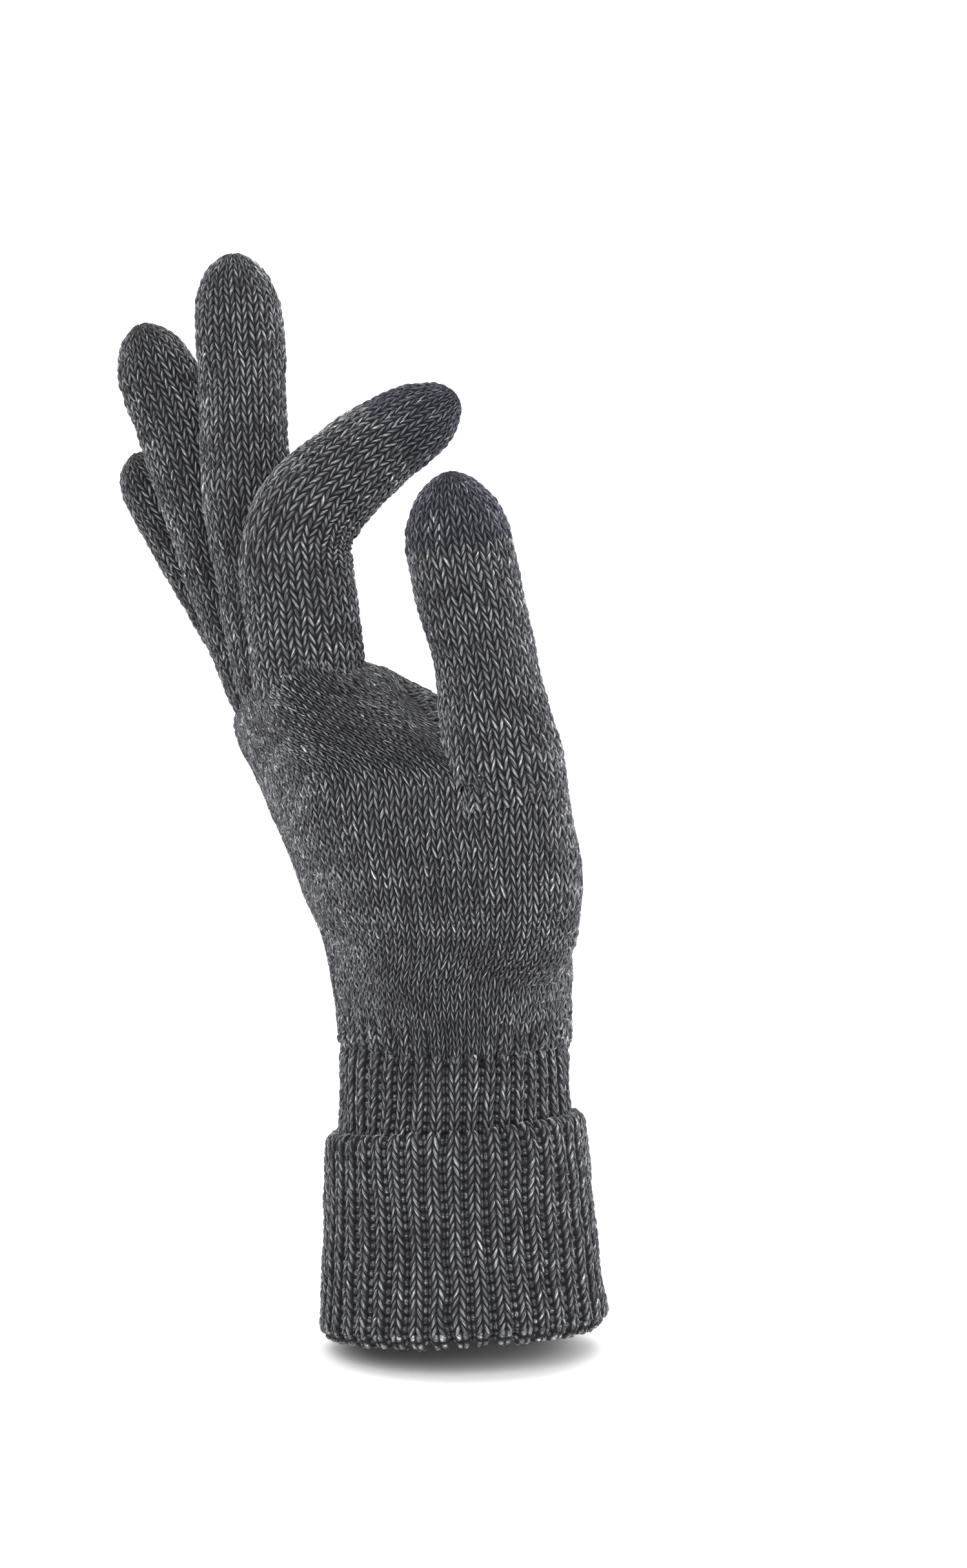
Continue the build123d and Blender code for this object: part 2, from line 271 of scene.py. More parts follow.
        # short bright specks of metal fibre between some of the legs, painted in as glints: their brightness is
        # a painted highlight
        spot = node("ShaderNodeTexWhiteNoise", noise_dimensions="2D")
        link(leg.outputs[0], spot.inputs["Vector"])
        mask = math_node("MULTIPLY", math_node("GREATER_THAN", spot.outputs["Value"], 0.93),
                         math_node("LESS_THAN", side, 0.24))
        mask = math_node("MULTIPLY", mask, math_node("GREATER_THAN", row, 0.45))
        shine = node("ShaderNodeMix", data_type="RGBA")
        link(math_node("MULTIPLY", mask, glint), shine.inputs["Factor"])
        link(colour, shine.inputs["A"])
        shine.inputs["B"].default_value = (0.78, 0.79, 0.84, 1)
        colour = shine.outputs["Result"]
    link(colour, bsdf.inputs["Base Color"])
    rough = ramp(streak, [(0.3, (0.96,) * 3), (0.75, (0.72,) * 3)])
    link(rough, bsdf.inputs["Roughness"])
    bsdf.inputs["Specular IOR Level"].default_value = 0.25
    bsdf.inputs["Sheen Weight"].default_value = 0.06
    bsdf.inputs["Sheen Roughness"].default_value = 0.55
    bsdf.inputs["Sheen Tint"].default_value = (0.75, 0.77, 0.8, 1)
    bump = node("ShaderNodeBump")
    bump.inputs["Strength"].default_value = 1.0
    bump.inputs["Distance"].default_value = 0.0004
    relief = math_node("ADD", math_node("MULTIPLY", shade, 0.9), math_node("MULTIPLY", streak, 1.1))
    link(relief, bump.inputs["Height"])
    link(bump.outputs[0], bsdf.inputs["Normal"])
    return mat


def fuzz_material(name, tone):
    """Loose fibres: a plain tone that varies from hair to hair."""
    mat = bpy.data.materials.new(name)
    mat.use_nodes = True
    nt = mat.node_tree
    bsdf = nt.nodes["Principled BSDF"]
    place = nt.nodes.new("ShaderNodeUVMap")
    place.uv_map = "knit"
    spots = nt.nodes.new("ShaderNodeTexNoise")
    spots.inputs["Scale"].default_value = 0.7
    nt.links.new(place.outputs[0], spots.inputs["Vector"])
    ramp = nt.nodes.new("ShaderNodeValToRGB")
    ramp.color_ramp.elements[0].position = 0.35
    ramp.color_ramp.elements[1].position = 0.68
    ramp.color_ramp.elements[0].color = tuple(0.35 * t for t in tone) + (1,)
    ramp.color_ramp.elements[1].color = (*tone, 1)
    nt.links.new(spots.outputs["Fac"], ramp.inputs["Fac"])
    nt.links.new(ramp.outputs[0], bsdf.inputs["Base Color"])
    bsdf.inputs["Roughness"].default_value = 0.85
    bsdf.inputs["Sheen Weight"].default_value = 0.3
    return mat


TONES = ((0.022, 0.0225, 0.025), (0.155, 0.157, 0.166), (0.40, 0.403, 0.428))
WOOL = yarn("charcoal_wool", *TONES, 1.2, 2.12)
RIB_WOOL = yarn("charcoal_rib", *TONES, 1.15, 1.95, rib=True)
NAVY = yarn("conductive_yarn", (0.020, 0.021, 0.028), (0.120, 0.123, 0.150), (0.30, 0.305, 0.345), 1.15, 1.55,
            glint=0.75)
FUZZ = fuzz_material("loose_wool_fibre", (0.22, 0.225, 0.235))
FUZZ_NAVY = fuzz_material("loose_navy_fibre", (0.10, 0.11, 0.14))


# ---------------------------------------------------------------- stitches

def lattice(wales, courses, per_wale):
    """Stitch coordinates: column position, row value, and how far each vertex is up its leg."""
    x = np.arange(wales * per_wale) / per_wale
    a = np.abs(2 * (x % 1) - 1)
    rows = np.array([c + p for c in range(courses) for p in PHASES] + [float(courses)])
    v = rows[:, None] + SLANT * (a[None, :] - 0.5)
    return x, a, rows, v


def stitch_height(rows, a, x, seed):
    """Rounded legs that meet in a V, uneven from stitch to stitch."""
    p = rows % 1
    leg = np.sin(np.pi * p) ** 0.55
    across = np.interp(a, (0.0, 0.3, 0.68, 1.0), (0.22, 1.0, 0.95, 0.08))
    column = np.floor(x * 2).astype(np.int64)
    stitch = hash01(column[None, :], np.floor(rows).astype(np.int64)[:, None], column[None, :] * 0 + 3, seed)
    uneven = 0.78 + 0.44 * stitch
    return RELIEF * leg[:, None] * across[None, :] * uneven


class Mesher:
    """Collects grids and loose fibres into one object with a knit map and smooth normals."""

    def __init__(self):
        self.points, self.faces, self.maps, self.slots, self.normals = [], [], [], [], []
        self.total = 0

    def grid(self, points, normals, u, v, period, flip=False):
        """Closed rings of points, one per row; period is the jump of u round a ring."""
        r, c = points.shape[:2]
        index = np.arange(r * c).reshape(r, c) + self.total
        right = np.roll(index, -1, axis=1)
        quad = np.stack([index[:-1], right[:-1], right[1:], index[1:]], axis=-1).reshape(-1, 4)
        ul = np.broadcast_to(u[None, :], (r, c))
        ur = np.roll(ul, -1, axis=1).copy()
        ur[:, -1] += period
        v = np.broadcast_to(v[:, None], (r, c))
        maps = np.stack([
            np.stack([ul[:-1], v[:-1]], -1), np.stack([ur[:-1], v[:-1]], -1),
            np.stack([ur[1:], v[1:]], -1), np.stack([ul[1:], v[1:]], -1)], axis=2).reshape(-1, 4, 2)
        if flip:
            quad, maps = quad[:, ::-1], maps[:, ::-1]
        self.points.append(points.reshape(-1, 3))
        self.normals.append(normals.reshape(-1, 3))
        self.faces.append(quad)
        self.maps.append(maps)
        self.slots.append(np.full(len(quad), 0))
        self.total += r * c

    def fuzz(self, points, normals, count, seed):
        """Loose fibres in the second material, each a thin closed three-sided hair."""
        rng = np.random.default_rng(seed)
        flat, norm = points.reshape(-1, 3), unit(normals.reshape(-1, 3))
        pick = rng.integers(0, len(flat), count)
        root, n = flat[pick] - norm[pick] * 0.15, norm[pick]
        drift = rng.normal(size=(count, 3))
        drift -= n * np.sum(drift * n, axis=1, keepdims=True)
        drift = unit(drift)
        curl = rng.normal(size=(count, 3))
        size = rng.uniform(0.7, 2.2, size=(count, 1)) * rng.uniform(0.5, 1.0, size=(count, 1))
        lift = rng.uniform(0.25, 1.0, size=(count, 1))
        joints = []
        for t in (0.0, 0.35, 0.7, 1.0):
            reach = n * lift * t * 0.8 + drift * (t - 0.35 * lift * t * t) + curl * 0.28 * t * t
            joints.append(root + size * reach)
        verts = []
        side = unit(np.cross(drift, n))
        for k, centre in enumerate(joints[:-1]):
            width = 0.028 * (1.0, 0.9, 0.6)[k]
            for j in range(3):
                angle = j * 2 * math.pi / 3
                verts.append(centre + width * (math.cos(angle) * side + math.sin(angle) * n))
        verts.append(joints[-1])
        verts = np.stack(verts, axis=1)                     # count, 10, 3
        start = self.total + np.arange(count)[:, None] * 10
        quads = []
        for k in range(2):
            for j in range(3):
                j2 = (j + 1) % 3
                quads.append([k * 3 + j, k * 3 + j2, k * 3 + 3 + j2, k * 3 + 3 + j])
        tris = [[6 + j, 6 + (j + 1) % 3, 9] for j in range(3)] + [[2, 1, 0]]
        self.points.append(verts.reshape(-1, 3))
        centre = verts.mean(axis=1, keepdims=True)
        self.normals.append(unit(verts - centre + n[:, None, :] * 0.4).reshape(-1, 3))
        spread = rng.uniform(0, 60, size=(count, 1, 2))
        for block, size_ in ((quads, 4), (tris, 3)):
            face = (start[:, None, :] + np.array(block)[None]).reshape(-1, size_)
            self.faces.append(face)
            flat_map = np.broadcast_to(spread[:, :, None, :], (count, len(block), size_, 2))
            self.maps.append(flat_map.reshape(-1, size_, 2))
            self.slots.append(np.full(len(face), 1))
        self.total += count * 10

    def build(self, name, materials):
        """One mesh object with the knit map, custom normals and the given materials."""
        verts = np.concatenate(self.points) * MM
        normals = unit(np.concatenate(self.normals))
        mesh = bpy.data.meshes.new(name)
        sizes = np.concatenate([np.full(len(f), f.shape[1]) for f in self.faces])
        loops = np.concatenate([f.reshape(-1) for f in self.faces])
        mesh.vertices.add(len(verts))
        mesh.vertices.foreach_set("co", verts.astype(np.float32).ravel())
        mesh.loops.add(len(loops))
        mesh.loops.foreach_set("vertex_index", loops.astype(np.int32))
        mesh.polygons.add(len(sizes))
        starts = np.concatenate([[0], np.cumsum(sizes)[:-1]])
        mesh.polygons.foreach_set("loop_start", starts.astype(np.int32))
        mesh.polygons.foreach_set("loop_total", sizes.astype(np.int32))
        mesh.polygons.foreach_set("material_index", np.concatenate(self.slots).astype(np.int32))
        mesh.polygons.foreach_set("use_smooth", np.ones(len(sizes), bool))
        mesh.update(calc_edges=True)
        layer = mesh.uv_layers.new(name="knit")
        uvs = np.concatenate([m.reshape(-1, 2) for m in self.maps])
        layer.data.foreach_set("uv", uvs.astype(np.float32).ravel())
        mesh.validate()
        mesh.normals_split_custom_set_from_vertices(normals.tolist())
        for material in materials:
            mesh.materials.append(material)
        obj = bpy.data.objects.new(name, mesh)
        bpy.context.collection.objects.link(obj)
        return obj


def grid_normals(points):
    """Outward vertex normals of closed rings of points from their neighbours."""
    du = np.roll(points, -1, axis=1) - np.roll(points, 1, axis=1)
    dv = np.gradient(points, axis=0)
    return unit(np.cross(du, dv))


# ---------------------------------------------------------------- fingers

def lean(angle):
    """Direction of a length of finger that leans by an angle in degrees."""
    return np.array([math.sin(math.radians(angle)), 0, math.cos(math.radians(angle))])


def centre_line(base, leans, lengths, reach, start):
    """Points and leans along a finger, with a smooth bend at each joint, every 0.25 mm."""
    corners = [np.array(base, float)]
    for angle, length in zip(leans, lengths):
        corners.append(corners[-1] + lean(angle) * length)
    stations = [0.0] + list(np.cumsum(lengths))
    s = np.arange(start, stations[-1] + 0.01, 0.25)
    angle = np.full(len(s), leans[0], float)
    for k in range(1, len(leans)):
        turn = leans[k] - leans[k - 1]
        angle += turn * smooth(s, stations[k] - reach[k - 1], stations[k] + reach[k - 1])
    step = np.stack([np.sin(np.radians(angle)), 0 * s, np.cos(np.radians(angle))], axis=1) * 0.25
    line = np.cumsum(step, axis=0) - step[0]
    zero = np.argmin(np.abs(s))
    line = line - line[zero] + corners[0]
    # drift back onto the straight lengths, which the smooth turn cuts slightly short
    miss = corners[-1] - line[-1]
    line = line + miss * smooth(s, 0, stations[-1])[:, None]
    return s, line, angle, stations


def finger_surface(spec, reach, start):
    """Forms of a finger along its length, and the length measured over the closed end."""
    s, line, angle, stations = centre_line(spec["base"], spec["leans"], spec["lengths"], reach, start)
    end = stations[-1] + 0.4
    cap, power = spec["cap"]
    keys = np.arange(start, end + 0.25, 0.25)
    form = spline_table(spec["form"], keys)
    along = np.arange(start, end - cap, 0.25)
    arc = np.linspace(0, math.pi / 2 * 0.94, 70)
    ps = np.concatenate([along, end - cap + cap * np.sin(arc)])
    closing = np.concatenate([np.ones(len(along)), np.cos(arc) ** power])
    deep = np.interp(ps, keys, form[:, 1]) * closing
    wide = np.interp(ps, keys, form[:, 2]) * closing
    shift = np.interp(ps, keys, form[:, 3])
    sigma = np.concatenate([[0], np.cumsum(np.hypot(np.diff(ps), np.diff(deep)))])
    return {"s": s, "line": line, "angle": angle, "stations": stations, "sigma": sigma, "ps": ps,
            "deep": deep, "wide": wide, "shift": shift, "wales": spec["wales"], "y": spec["base"][1]}


def finger_at(surf, sigma, turn):
    """Position at a length along the skin and an angle round the finger."""
    ps = np.interp(sigma, surf["sigma"], surf["ps"])
    deep, wide, shift = (np.interp(sigma, surf["sigma"], surf[k]) for k in ("deep", "wide", "shift"))
    ang = np.radians(np.interp(ps, surf["s"], surf["angle"]))
    cx = np.interp(ps, surf["s"], surf["line"][:, 0])
    cz = np.interp(ps, surf["s"], surf["line"][:, 2])
    out = deep * np.cos(turn) + shift
    return np.stack([cx + np.cos(ang) * out, surf["y"] + wide * np.sin(turn), cz - np.sin(ang) * out], -1), ps


def finger_points(surf, sigma, turn):
    """Points of the skin, their normals and their place along the finger."""
    point, ps = finger_at(surf, sigma, turn)
    last = surf["sigma"][-1]
    ahead, _ = finger_at(surf, np.minimum(sigma + 0.3, last), turn)
    behind, _ = finger_at(surf, np.minimum(sigma, last - 0.2) - 0.3, turn)
    left, _ = finger_at(surf, np.minimum(sigma, last - 0.2), turn - 0.05)
    right, _ = finger_at(surf, np.minimum(sigma, last - 0.2), turn + 0.05)
    return point, unit(np.cross(ahead - behind, left - right)), ps


def make_finger(spec, reach, start, seed, creases=()):
    """Whole finger as one lattice; its rows are then cut into pieces."""
    surf = finger_surface(spec, reach, start)
    wales = surf["wales"]
    courses = int(surf["sigma"][-1] / COURSE)
    x, a, rows, v = lattice(wales, courses, FINGER_PER_WALE)
    shape = v.shape
    around = np.broadcast_to(x[None], shape)
    sway = noise(np.stack([around * 0.6, v * 0.6, np.full(shape, seed * 3.1)], -1), 1.0, seed)
    drift = noise(np.stack([around * 0.6, v * 0.6, np.full(shape, seed * 3.1 + 50)], -1), 1.0, seed + 1)
    pitch = surf["sigma"][-1] / courses
    sigma = np.clip((v + 0.17 * sway) * pitch, 0, surf["sigma"][-1])
    turn = 2 * math.pi * (x / wales)[None, :] + 2 * math.pi / wales * 0.13 * drift
    point, normal, ps = finger_points(surf, sigma, turn)
    thin = smooth(surf["sigma"][-1] - sigma, 0.0, 7.0) * 0.65 + 0.35
    height = stitch_height(rows, a, x, seed) * thin - 0.15
    lumps = 0.34 * noise(point, 11.0, seed + 5) + 0.16 * noise(point, 4.5, seed + 6)
    lumps = lumps * smooth(ps, -2, 8)
    palm = np.clip(np.cos(turn), 0, 1)
    for place, depth, width in creases:
        lumps = lumps - depth * palm ** 1.5 * np.exp(-((ps - place) / width) ** 2)
    final = point + normal * (height + lumps)[..., None]
    return {"surf": surf, "x": x, "rows": rows, "v": v, "points": final, "wales": wales, "pitch": pitch,
            "normals": grid_normals(final), "ps": ps}


def finger_piece(knit, name, s_from, s_to, materials, seed, fuzz_share=1.0):
    """Cut the rows between two lengths along the finger, at whole courses."""
    surf, rows = knit["surf"], knit["rows"]
    mean_s = np.interp(rows * knit["pitch"], surf["sigma"], surf["ps"])
    whole = rows % 1 == 0
    places = np.where(whole)[0]
    lo = places[np.argmin(np.abs(mean_s[places] - s_from))] if s_from is not None else 0
    hi = places[np.argmin(np.abs(mean_s[places] - s_to))] if s_to is not None else len(rows) - 1
    mesher = Mesher()
    part = slice(lo, hi + 1)
    mesher.grid(knit["points"][part], knit["normals"][part], knit["x"], rows[part], knit["wales"])
    area = (hi - lo) * knit["wales"] / 5 * 2.0
    mesher.fuzz(knit["points"][part], knit["normals"][part], int(area * 0.55 * fuzz_share), seed)
    return mesher.build(name, materials)


def at(surf, s):
    """Point on the centre line, in metres."""
    return tuple(np.array([np.interp(s, surf["s"], surf["line"][:, k]) for k in range(3)]) * MM)


def knot(name, surf, material, seed):
    """Gathered end: a small twisted loop of yarn drawn through the last stitches."""
    tip = np.array([np.interp(surf["stations"][-1], surf["s"], surf["line"][:, k]) for k in range(3)])
    ang = math.radians(surf["angle"][-1])
    tip = tip + np.array([math.cos(ang), 0, -math.sin(ang)]) * surf["shift"][-1]
    t = np.array([math.sin(ang), 0, math.cos(ang)])
    n = np.array([math.cos(ang), 0, -math.sin(ang)])
    b = np.array([0, 1.0, 0])
    turns = np.linspace(0, 1, 90)
    phase = seed * 1.3
    theta = turns * 2 * math.pi * 2.2 + phase
    radius = 1.6 - 1.1 * turns
    path = (tip - t * 1.5 + t * (0.1 + 1.2 * turns)[:, None] + radius[:, None]
            * (np.cos(theta)[:, None] * n + np.sin(theta)[:, None] * b))
    tangent = unit(np.gradient(path, axis=0))
    side = unit(np.cross(tangent, t))
    up = np.cross(side, tangent)
    ring = np.arange(10) * 2 * math.pi / 10
    thick = 0.66 * np.minimum(1, np.minimum(turns, 1 - turns) * 14 + 0.12)
    wobble = 1 + 0.12 * np.sin(turns * 60)[:, None] * np.cos(ring * 2)[None]
    grid = path[:, None] + (thick[:, None] * wobble)[..., None] * (
        np.cos(ring)[None, :, None] * side[:, None] + np.sin(ring)[None, :, None] * up[:, None])
    mesher = Mesher()
    mesher.grid(grid, -grid_normals(grid), ring, turns * 20, 6.28, flip=True)
    mesher.fuzz(grid, grid - path[:, None], 24, seed)
    return mesher.build(name, material)


# ---------------------------------------------------------------- hand

HAND_ROWS = [
    # z, slope, back, palm face at thumb side, at little side, thumb edge, little edge, squareness
    (66.0, 0.0, -27.4, 24.7, 24.7, -26.4, 26.4, 2.0),
    (77.0, 0.0, -28.8, 25.6, 24.0, -29.8, 29.2, 2.05),
    (86.5, 0.0, -30.2, 25.8, 23.0, -34.2, 32.6, 2.15),
    (95.0, 0.0, -32.3, 24.8, 20.0, -38.5, 36.0, 2.25),
    (102.8, 0.0, -36.1, 22.8, 16.0, -41.5, 38.4, 2.35),
    (112.5, 0.01, -39.4, 17.5, 8.0, -43.0, 41.4, 2.5),
    (123.5, 0.02, -43.7, 5.0, -2.0, -41.0, 44.4, 2.6),
    (132.5, 0.04, -47.0, -8.5, -10.5, -37.8, 46.2, 2.6),
    (140.5, 0.06, -50.3, -20.0, -20.0, -35.6, 47.6, 2.8),
    (146.5, 0.077, -51.6, -26.0, -28.0, -35.0, 48.2, 3.0),
]
GUSSET_ROWS = [
    # z, centre x, centre y, radius of the form that leads into the thumb and then the web beside it
    (66.0, 4.0, -4.0, 2.0), (74.0, 5.0, -10.0, 6.0), (82.0, 6.6, -18.0, 9.4), (92.0, 7.2, -27.0, 13.4),
    (103.0, 5.6, -35.6, 14.9), (113.0, 4.2, -41.4, 14.8), (122.0, 2.9, -45.2, 13.5), (128.0, 2.1, -47.0, 12.4),
    (132.5, -0.8, -45.2, 11.4), (137.0, -6.2, -38.8, 10.4), (142.0, -12.0, -31.0, 8.8),
    (147.0, -17.8, -25.0, 7.2),
    (151.5, -23.0, -21.5, 5.6), (156.0, -28.0, -19.0, 4.0),
]
HAND_WALES = 100
MIDDLE_Y = 7.0
DOME = 9.0


def hull(points):
    """Convex outline of 2-D points, anticlockwise."""
    pts = points[np.lexsort((points[:, 1], points[:, 0]))]

    def half(seq):
        chain = []
        for p in seq:
            while len(chain) > 1 and ((chain[-1][0] - chain[-2][0]) * (p[1] - chain[-2][1])
                                      - (chain[-1][1] - chain[-2][1]) * (p[0] - chain[-2][0])) <= 0:
                chain.pop()
            chain.append(p)
        return chain[:-1]

    return np.array(half(pts) + half(pts[::-1]))


def even_loop(outline, count, towards):
    """Resample a closed outline to count points, evenly, starting where it crosses a direction."""
    closed = np.vstack([outline, outline[:1]])
    length = np.concatenate([[0], np.cumsum(np.hypot(*np.diff(closed, axis=0).T))])
    first = np.argmax(outline @ towards)
    at_ = (length[first] + np.arange(count) / count * length[-1]) % length[-1]
    return np.stack([np.interp(at_, length, closed[:, 0]), np.interp(at_, length, closed[:, 1])], -1)


def hand_section(level, columns, q=0.0):
    """One level of the hand: q runs from 0 to 1 as the top closes over between the fingers."""
    z, slope, back, face_thumb, face_little, edge_thumb, edge_little, square = level
    angle = np.linspace(0, 2 * math.pi, 220, endpoint=False)
    c = np.sign(np.cos(angle)) * np.abs(np.cos(angle)) ** (2 / square)
    s = np.sign(np.sin(angle)) * np.abs(np.sin(angle)) ** (2 / square)
    close = math.sqrt(max(0.0, 1 - q * q))
    half_y = (edge_little - edge_thumb) / 2 - 3.5 * (1 - close)
    y = (edge_little + edge_thumb) / 2 + half_y * s
    share = (1 - s) / 2
    face = face_little + (face_thumb - face_little) * share
    mid = ((face_thumb + face_little) / 2 + back) / 2
    half = np.where(c > 0, face - mid, mid - back) * close
    x = mid + half * c
    pts = np.stack([x, y], -1)
    gx, gy, gr = spline_table(GUSSET_ROWS, np.array([z + DOME * q]))[0, 1:]
    gr = gr * close
    ring = np.linspace(0, 2 * math.pi, 90, endpoint=False)
    pts = np.vstack([pts, np.stack([gx + gr * np.cos(ring), gy + gr * np.sin(ring)], -1)])
    outline = hull(pts)
    loop = even_loop(outline, columns, np.array([0.0, 1.0]))
    height = z - slope * (loop[:, 1] - MIDDLE_Y) + DOME * q
    return np.column_stack([loop, height])


def hand_table(columns):
    levels = spline_table(HAND_ROWS, np.arange(66.0, 146.51, 0.5))
    table = [hand_section(level, columns) for level in levels]
    for q in np.sin(np.linspace(0, math.pi / 2, 14)[1:]):
        table.append(hand_section(levels[-1], columns, min(q, 0.995)))
    table = np.array(table)
    for _ in range(3):                                   # ease the creases that the outline leaves
        inner = table[1:-1] * 0.5 + (table[:-2] + table[2:]) * 0.25
        below_dome = np.arange(1, len(table) - 1)[:, None, None] < len(table) - 14
        table[1:-1] = np.where(below_dome, inner, table[1:-1])
    step = np.linalg.norm(np.diff(table, axis=0), axis=2)
    for _ in range(60):
        step = 0.5 * step + 0.25 * (np.roll(step, 1, axis=1) + np.roll(step, -1, axis=1))
    return table, np.vstack([np.zeros(columns), np.cumsum(step, axis=0)])


def sample_table(table, place, v):
    """Points of the table at a share v of the length of each of its columns."""
    index = np.stack([np.interp(v[:, k] * place[-1, k], place[:, k], np.arange(len(place)))
                      for k in range(v.shape[1])], axis=1)
    lo = np.clip(np.floor(index).astype(int), 0, len(place) - 2)
    t = (index - lo)[..., None]
    cols = np.broadcast_to(np.arange(v.shape[1])[None], v.shape)
    return table[lo, cols] * (1 - t) + table[lo + 1, cols] * t


def rib_wander(angle, height):
    """How far the ribs stray sideways, in ribs, at an angle and height on the wrist."""
    around = np.stack([np.cos(angle) * 30, np.sin(angle) * 30, height], -1)
    return 0.10 * noise(around, 7.0, 91) + 0.24 * noise(around, 23.0, 92)


def slit(point):
    """Fold where the thumb leaves the palm: depth of the dent at each point."""
    path = np.array([(-17.0, -27.5, 153.0), (-16.4, -33.0, 148.0), (-14.8, -40.0, 142.5), (-12.6, -47.0, 137.0),
                     (-9.0, -52.5, 132.0)])
    depths = (2.0, 4.0, 5.5, 4.5, 0.8)
    dent = np.zeros(point.shape[:-1])
    for k in range(len(path) - 1):
        run = path[k + 1] - path[k]
        t = np.clip(((point - path[k]) @ run) / (run @ run), 0, 1)
        away = np.linalg.norm(point - path[k] - t[..., None] * run, axis=-1)
        dent = np.maximum(dent, (depths[k] + (depths[k + 1] - depths[k]) * t) * np.exp(-(away / 2.8) ** 2))
    return dent


def make_hand():
    """Palm, back, thumb gusset and the top between the fingers, as one knitted tube."""
    columns = HAND_WALES * PER_WALE
    table, place = hand_table(columns)
    courses = int(place[-1].mean() / COURSE)
    x, a, rows, v = lattice(HAND_WALES, courses, PER_WALE)
    shape = v.shape
    sway = noise(np.stack([np.broadcast_to(x[None], shape) * 0.6, v * 0.6, np.full(shape, 2.2)], -1), 1.0, 11)
    drift = noise(np.stack([np.broadcast_to(x[None], shape) * 0.6, v * 0.6, np.full(shape, 9.2)], -1), 1.0, 12)
    point = sample_table(table, place, np.clip((v + 0.17 * sway) / courses, 0, 1))
    side = np.roll(point, -1, axis=1) - np.roll(point, 1, axis=1)
    point = point + side * (0.4 * drift)[..., None]
    base_n = grid_normals(point)
    base_n = unit(base_n + 0.5 * np.roll(base_n, 3, axis=1) + 0.5 * np.roll(base_n, -3, axis=1))
    height = stitch_height(rows, a, x, 21)
    # the ribs of the wrist die out over the first few rows
    angle = np.arctan2(point[..., 1], point[..., 0] + 1.7)
    part = (angle / (2 * math.pi) * RIBS - rib_wander(angle, point[..., 2])) % 1
    fade = 1.5 * (1 - smooth(point[..., 2], 67.5, 82.0))
    profile = np.interp(part, (0, 0.1, 0.32, 0.54, 0.64, 0.82, 1), (-0.2, 0.3, 0.55, 0.3, -0.2, -1.15, -0.2))
    height = height + fade * profile
    lumps = 0.5 * noise(point, 17.0, 31) + 0.2 * noise(point, 6.0, 32)
    tuck = 1.4 * (1 - smooth(point[..., 2], 66.0, 69.5))       # the first row starts inside the ribs
    final = point + base_n * (height + lumps - slit(point) - tuck)[..., None]
    normals = grid_normals(final)
    mesher = Mesher()
    mesher.grid(final, normals, x, rows, HAND_WALES)
    mesher.fuzz(final, normals, 3000, 5)
    # inner face of the fabric, seen through the wrist opening
    inner_rows = slice(0, len(rows) - 18, 5)
    inside = point[inner_rows, ::3] - base_n[inner_rows, ::3] * 1.7
    mesher.grid(inside, -grid_normals(inside), x[::3], rows[inner_rows], HAND_WALES, flip=True)
    return mesher.build("hand_knit", [WOOL, FUZZ])


# ---------------------------------------------------------------- ribbed wrist and cuff

RIBS = 42
RIB_KNIT = 0.64         # share of a rib taken by the raised column
RIB_COURSE = 2.15


def rib_coordinates(courses, slant):
    """Column position, place on the leg, valley share, rows, height and knit map of the ribbing."""
    knit = np.linspace(0, RIB_KNIT, 9)
    valley = np.linspace(RIB_KNIT, 1.0, 5)[1:-1]
    f = np.concatenate([knit, valley])
    x = (np.arange(RIBS)[:, None] + f[None]).ravel()
    a = np.tile(np.concatenate([np.abs(np.linspace(-1, 1, 9)), np.ones(3)]), RIBS)
    valley_ = np.tile(np.concatenate([np.zeros(9), np.array([0.72, 1.0, 0.72])]), RIBS)
    rows = np.array([c + p for c in range(courses) for p in PHASES] + [float(courses)])
    v = rows[:, None] + slant * (a[None] - 0.5)
    # knit map: one stitch column over the raised part, another over the valley
    one_rib = np.concatenate([knit / RIB_KNIT, 1 + (valley - RIB_KNIT) / (1 - RIB_KNIT)])
    u = (np.arange(RIBS)[:, None] * 2 + one_rib[None]).ravel()
    return x, a, valley_, rows, v, u


def rib_height(rows, a, valley, x, seed, depth):
    """Raised stitch columns with a purl valley beside each."""
    p = rows % 1
    leg = np.sin(np.pi * p) ** 0.55
    across = np.interp(a, (0.0, 0.25, 0.5, 0.75, 1.0), (0.25, 0.9, 1.0, 0.85, 0.25))
    column = np.floor(x).astype(np.int64) * 2 + (np.abs(x % 1) > RIB_KNIT / 2)
    stitch = hash01(column[None], np.floor(rows).astype(np.int64)[:, None], column[None] * 0 + 1, seed)
    round_ = np.sqrt(np.clip(1 - (a * 0.93) ** 2, 0, 1)) * (1 - valley)
    purl = np.sin(np.pi * p) ** 0.8
    h = (0.55 + 0.45 * round_)[None] * depth * (1 - valley)[None]
    h = h + 0.85 * leg[:, None] * across[None] * (0.75 + 0.5 * stitch) * (1 - valley)[None]
    h = h + 0.55 * purl[:, None] * valley[None]
    return h - depth * 0.6


def ring_surface(prof, v, x):
    """Turn a profile of (radius, height) about the wrist: points and outward normals."""
    d = np.concatenate([[0], np.cumsum(np.hypot(*np.diff(prof, axis=0).T))])
    radius = np.interp(v, d, prof[:, 0])
    height = np.interp(v, d, prof[:, 1])
    dr = np.interp(v, d, np.gradient(prof[:, 0], d))
    dh = np.interp(v, d, np.gradient(prof[:, 1], d))
    angle = np.broadcast_to(2 * math.pi * (x / RIBS)[None], v.shape)
    radial = np.stack([np.cos(angle), np.sin(angle), 0 * angle], -1)
    up = np.zeros_like(radial)
    up[..., 2] = 1.0
    point = radial * radius[..., None] + up * height[..., None]
    normal = unit(radial * dh[..., None] - up * dr[..., None])
    return point, normal


